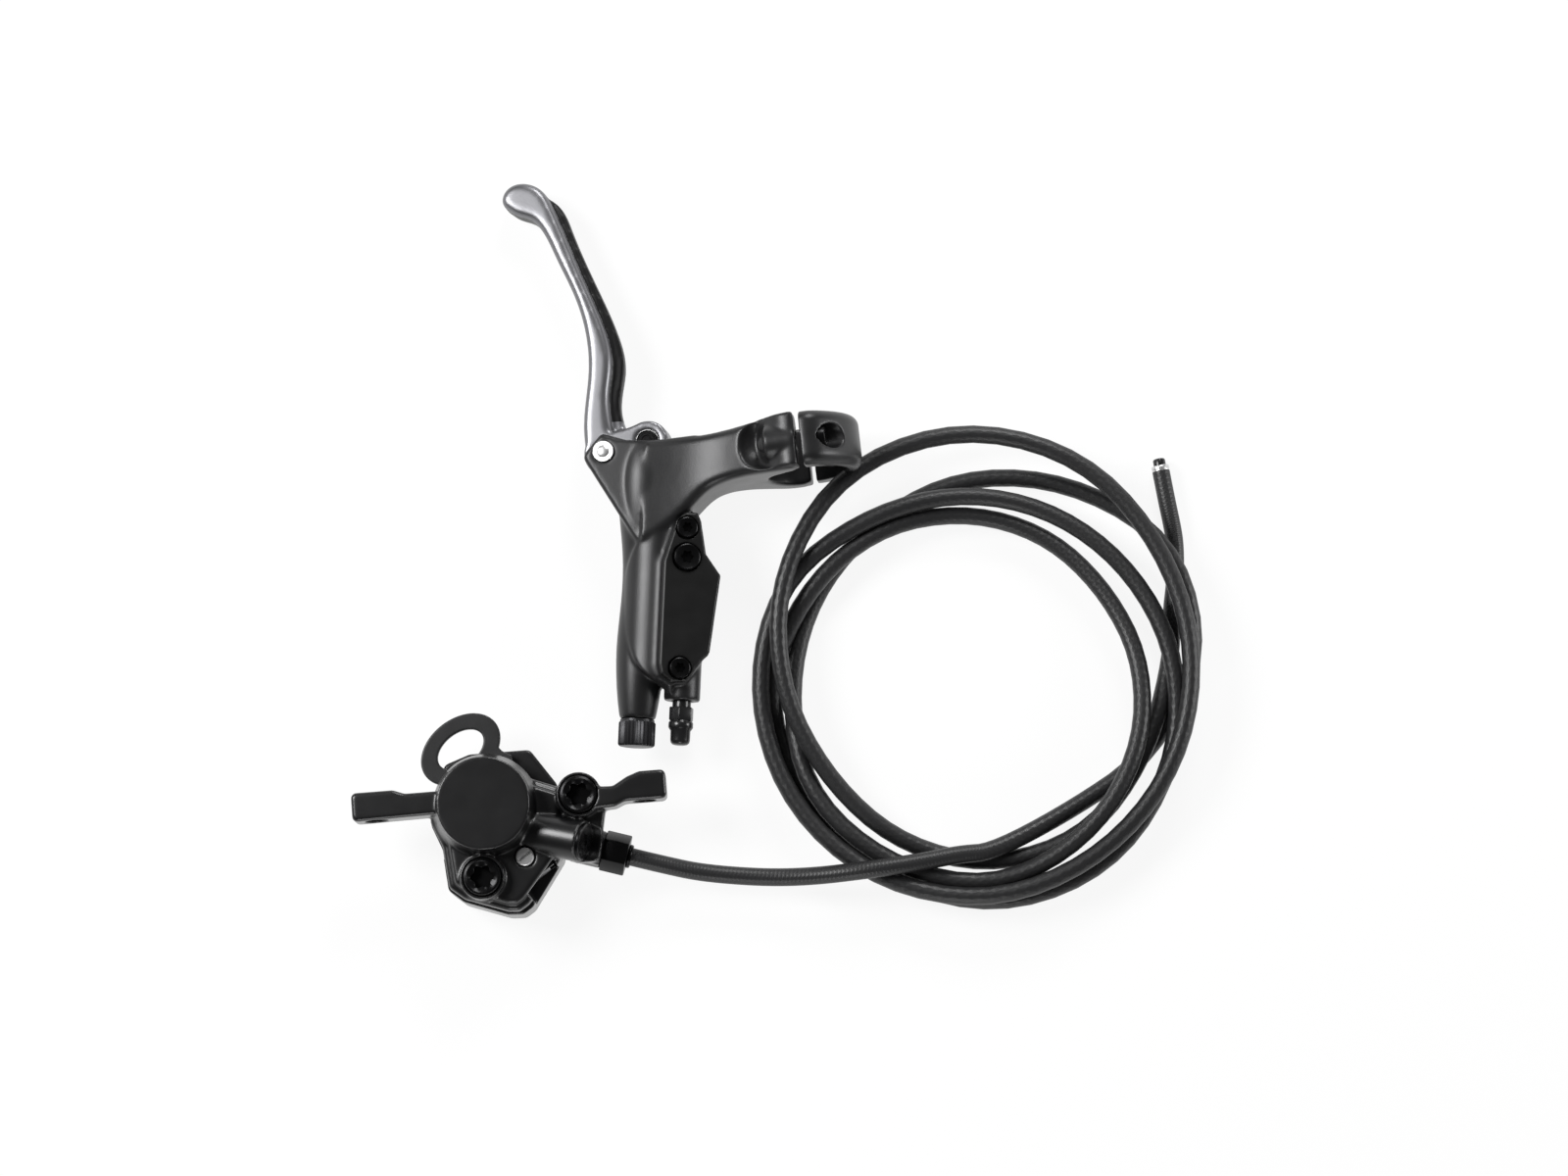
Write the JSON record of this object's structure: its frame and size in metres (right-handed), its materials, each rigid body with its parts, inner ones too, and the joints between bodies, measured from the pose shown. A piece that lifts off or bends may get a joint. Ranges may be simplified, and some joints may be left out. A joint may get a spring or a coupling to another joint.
{
  "type": "hydraulic disc brake",
  "caption": "Hydraulic disc brake set for a bicycle: lever and master cylinder with bar clamp, post-mount caliper with pads and transport spacer, and a free coiled hose.",
  "frame": {"origin": "where the caliper's piston axis meets the flat back of its inner half, on the table", "axes": "+X runs along the line of the two mounting ears towards the coil, +Y along the mounting screws, +Z along the piston axis, up from the table"},
  "size_m": [0.2408, 0.2159, 0.0377],
  "materials": {
    "casting": "satin black cast alloy",
    "cover": "matt black",
    "blade": "satin black anodised",
    "knob": "black anodised, knurled",
    "steel": "machined steel",
    "dark_steel": "blackened",
    "rubber": "matt",
    "hose": "matt black, fine woven texture",
    "plug": "satin black",
    "spacer": "matt grey",
    "brass": "turned",
    "alloy": "turned",
    "spring": "spring steel",
    "backing": "coated steel",
    "lining": "rough, matt"
  },
  "bodies": {
    "brake_set": {"lever_body": "casting", "clamp_cap": "casting", "clamp_bolts": "steel", "reservoir_cover": "cover", "reservoir_membrane": "rubber", "cover_screws": "dark_steel", "bleed_screw": "dark_steel", "pivot_pin": "steel", "stop_washer": "spring", "return_spring": "spring", "port_plug": "plug", "caliper_outer_half": "casting", "caliper_inner_half": "casting", "body_bolts": "steel", "crossover_ring": "rubber", "piston_seal_outer": "rubber", "piston_seal_inner": "rubber", "pad_spring": "spring", "pad_pin": "steel", "caliper_bleed_plug": "dark_steel", "hose_nut": "dark_steel", "hose_olive": "brass", "hose_lead": "hose", "hose_coil": "hose", "hose_tail": "hose", "hose_insert": "steel", "hose_cap": "plug"},
    "lever": {"lever_blade": "blade", "pivot_bushes": "brass"},
    "rod": {"pushrod_barrel": "steel", "pushrod": "steel"},
    "master": {"master_piston": "alloy", "primary_seal": "rubber", "secondary_seal": "rubber"},
    "knob": {"end_knob": "knob"},
    "outer_pad": {"piston_outer": "alloy", "pad_plate_outer": "backing", "pad_lining_outer": "lining"},
    "inner_pad": {"piston_inner": "alloy", "pad_plate_inner": "backing", "pad_lining_inner": "lining"},
    "spacer": {"transport_spacer": "spacer"}
  },
  "joints": [
    {"name": "lever_hinge", "type": "hinge", "parent": "brake_set", "child": "lever", "pos_m": [0.0405, 0.0972, 0.0105], "axis": [0.1382, -0.0166, -0.9903], "range_deg": [0, 22], "stiffness_Nm_per_rad": 0.8, "springref_deg": -8.59, "deforming": ["return_spring"]},
    {"name": "rod_hinge", "type": "hinge", "parent": "lever", "child": "rod", "pos_m": [0.05255, 0.09958, 0.01214], "axis": [0.1382, -0.0166, -0.9903], "range_deg": [-22.5, 0]},
    {"name": "master_slide", "type": "slide", "parent": "brake_set", "child": "master", "axis": [-0.1189, -0.9929, 0], "range_m": [0, 0.0048]},
    {"name": "knob_turn", "type": "hinge", "parent": "brake_set", "child": "knob", "pos_m": [0.04327, 0.02204, 0.01214], "axis": [-0.1189, -0.9929, 0], "range_deg": [-180, 180]},
    {"name": "outer_pad_slide", "type": "slide", "parent": "brake_set", "child": "outer_pad", "axis": [0, 0, -1], "range_m": [0, 0.0003], "deforming": ["pad_spring"]},
    {"name": "inner_pad_slide", "type": "slide", "parent": "brake_set", "child": "inner_pad", "axis": [0, 0, 1], "range_m": [0, 0.0003]},
    {"name": "spacer_slide", "type": "slide", "parent": "brake_set", "child": "spacer", "axis": [-0.4226, 0.9063, 0], "range_m": [0, 0.028]}
  ],
  "couplings": [
    {"joint": "rod_hinge", "follows": "lever_hinge", "ratio": -1},
    {"joint": "master_slide", "follows": "lever_hinge", "m_per_rad": 0.012233},
    {"joint": "inner_pad_slide", "follows": "outer_pad_slide", "ratio": 1}
  ]
}
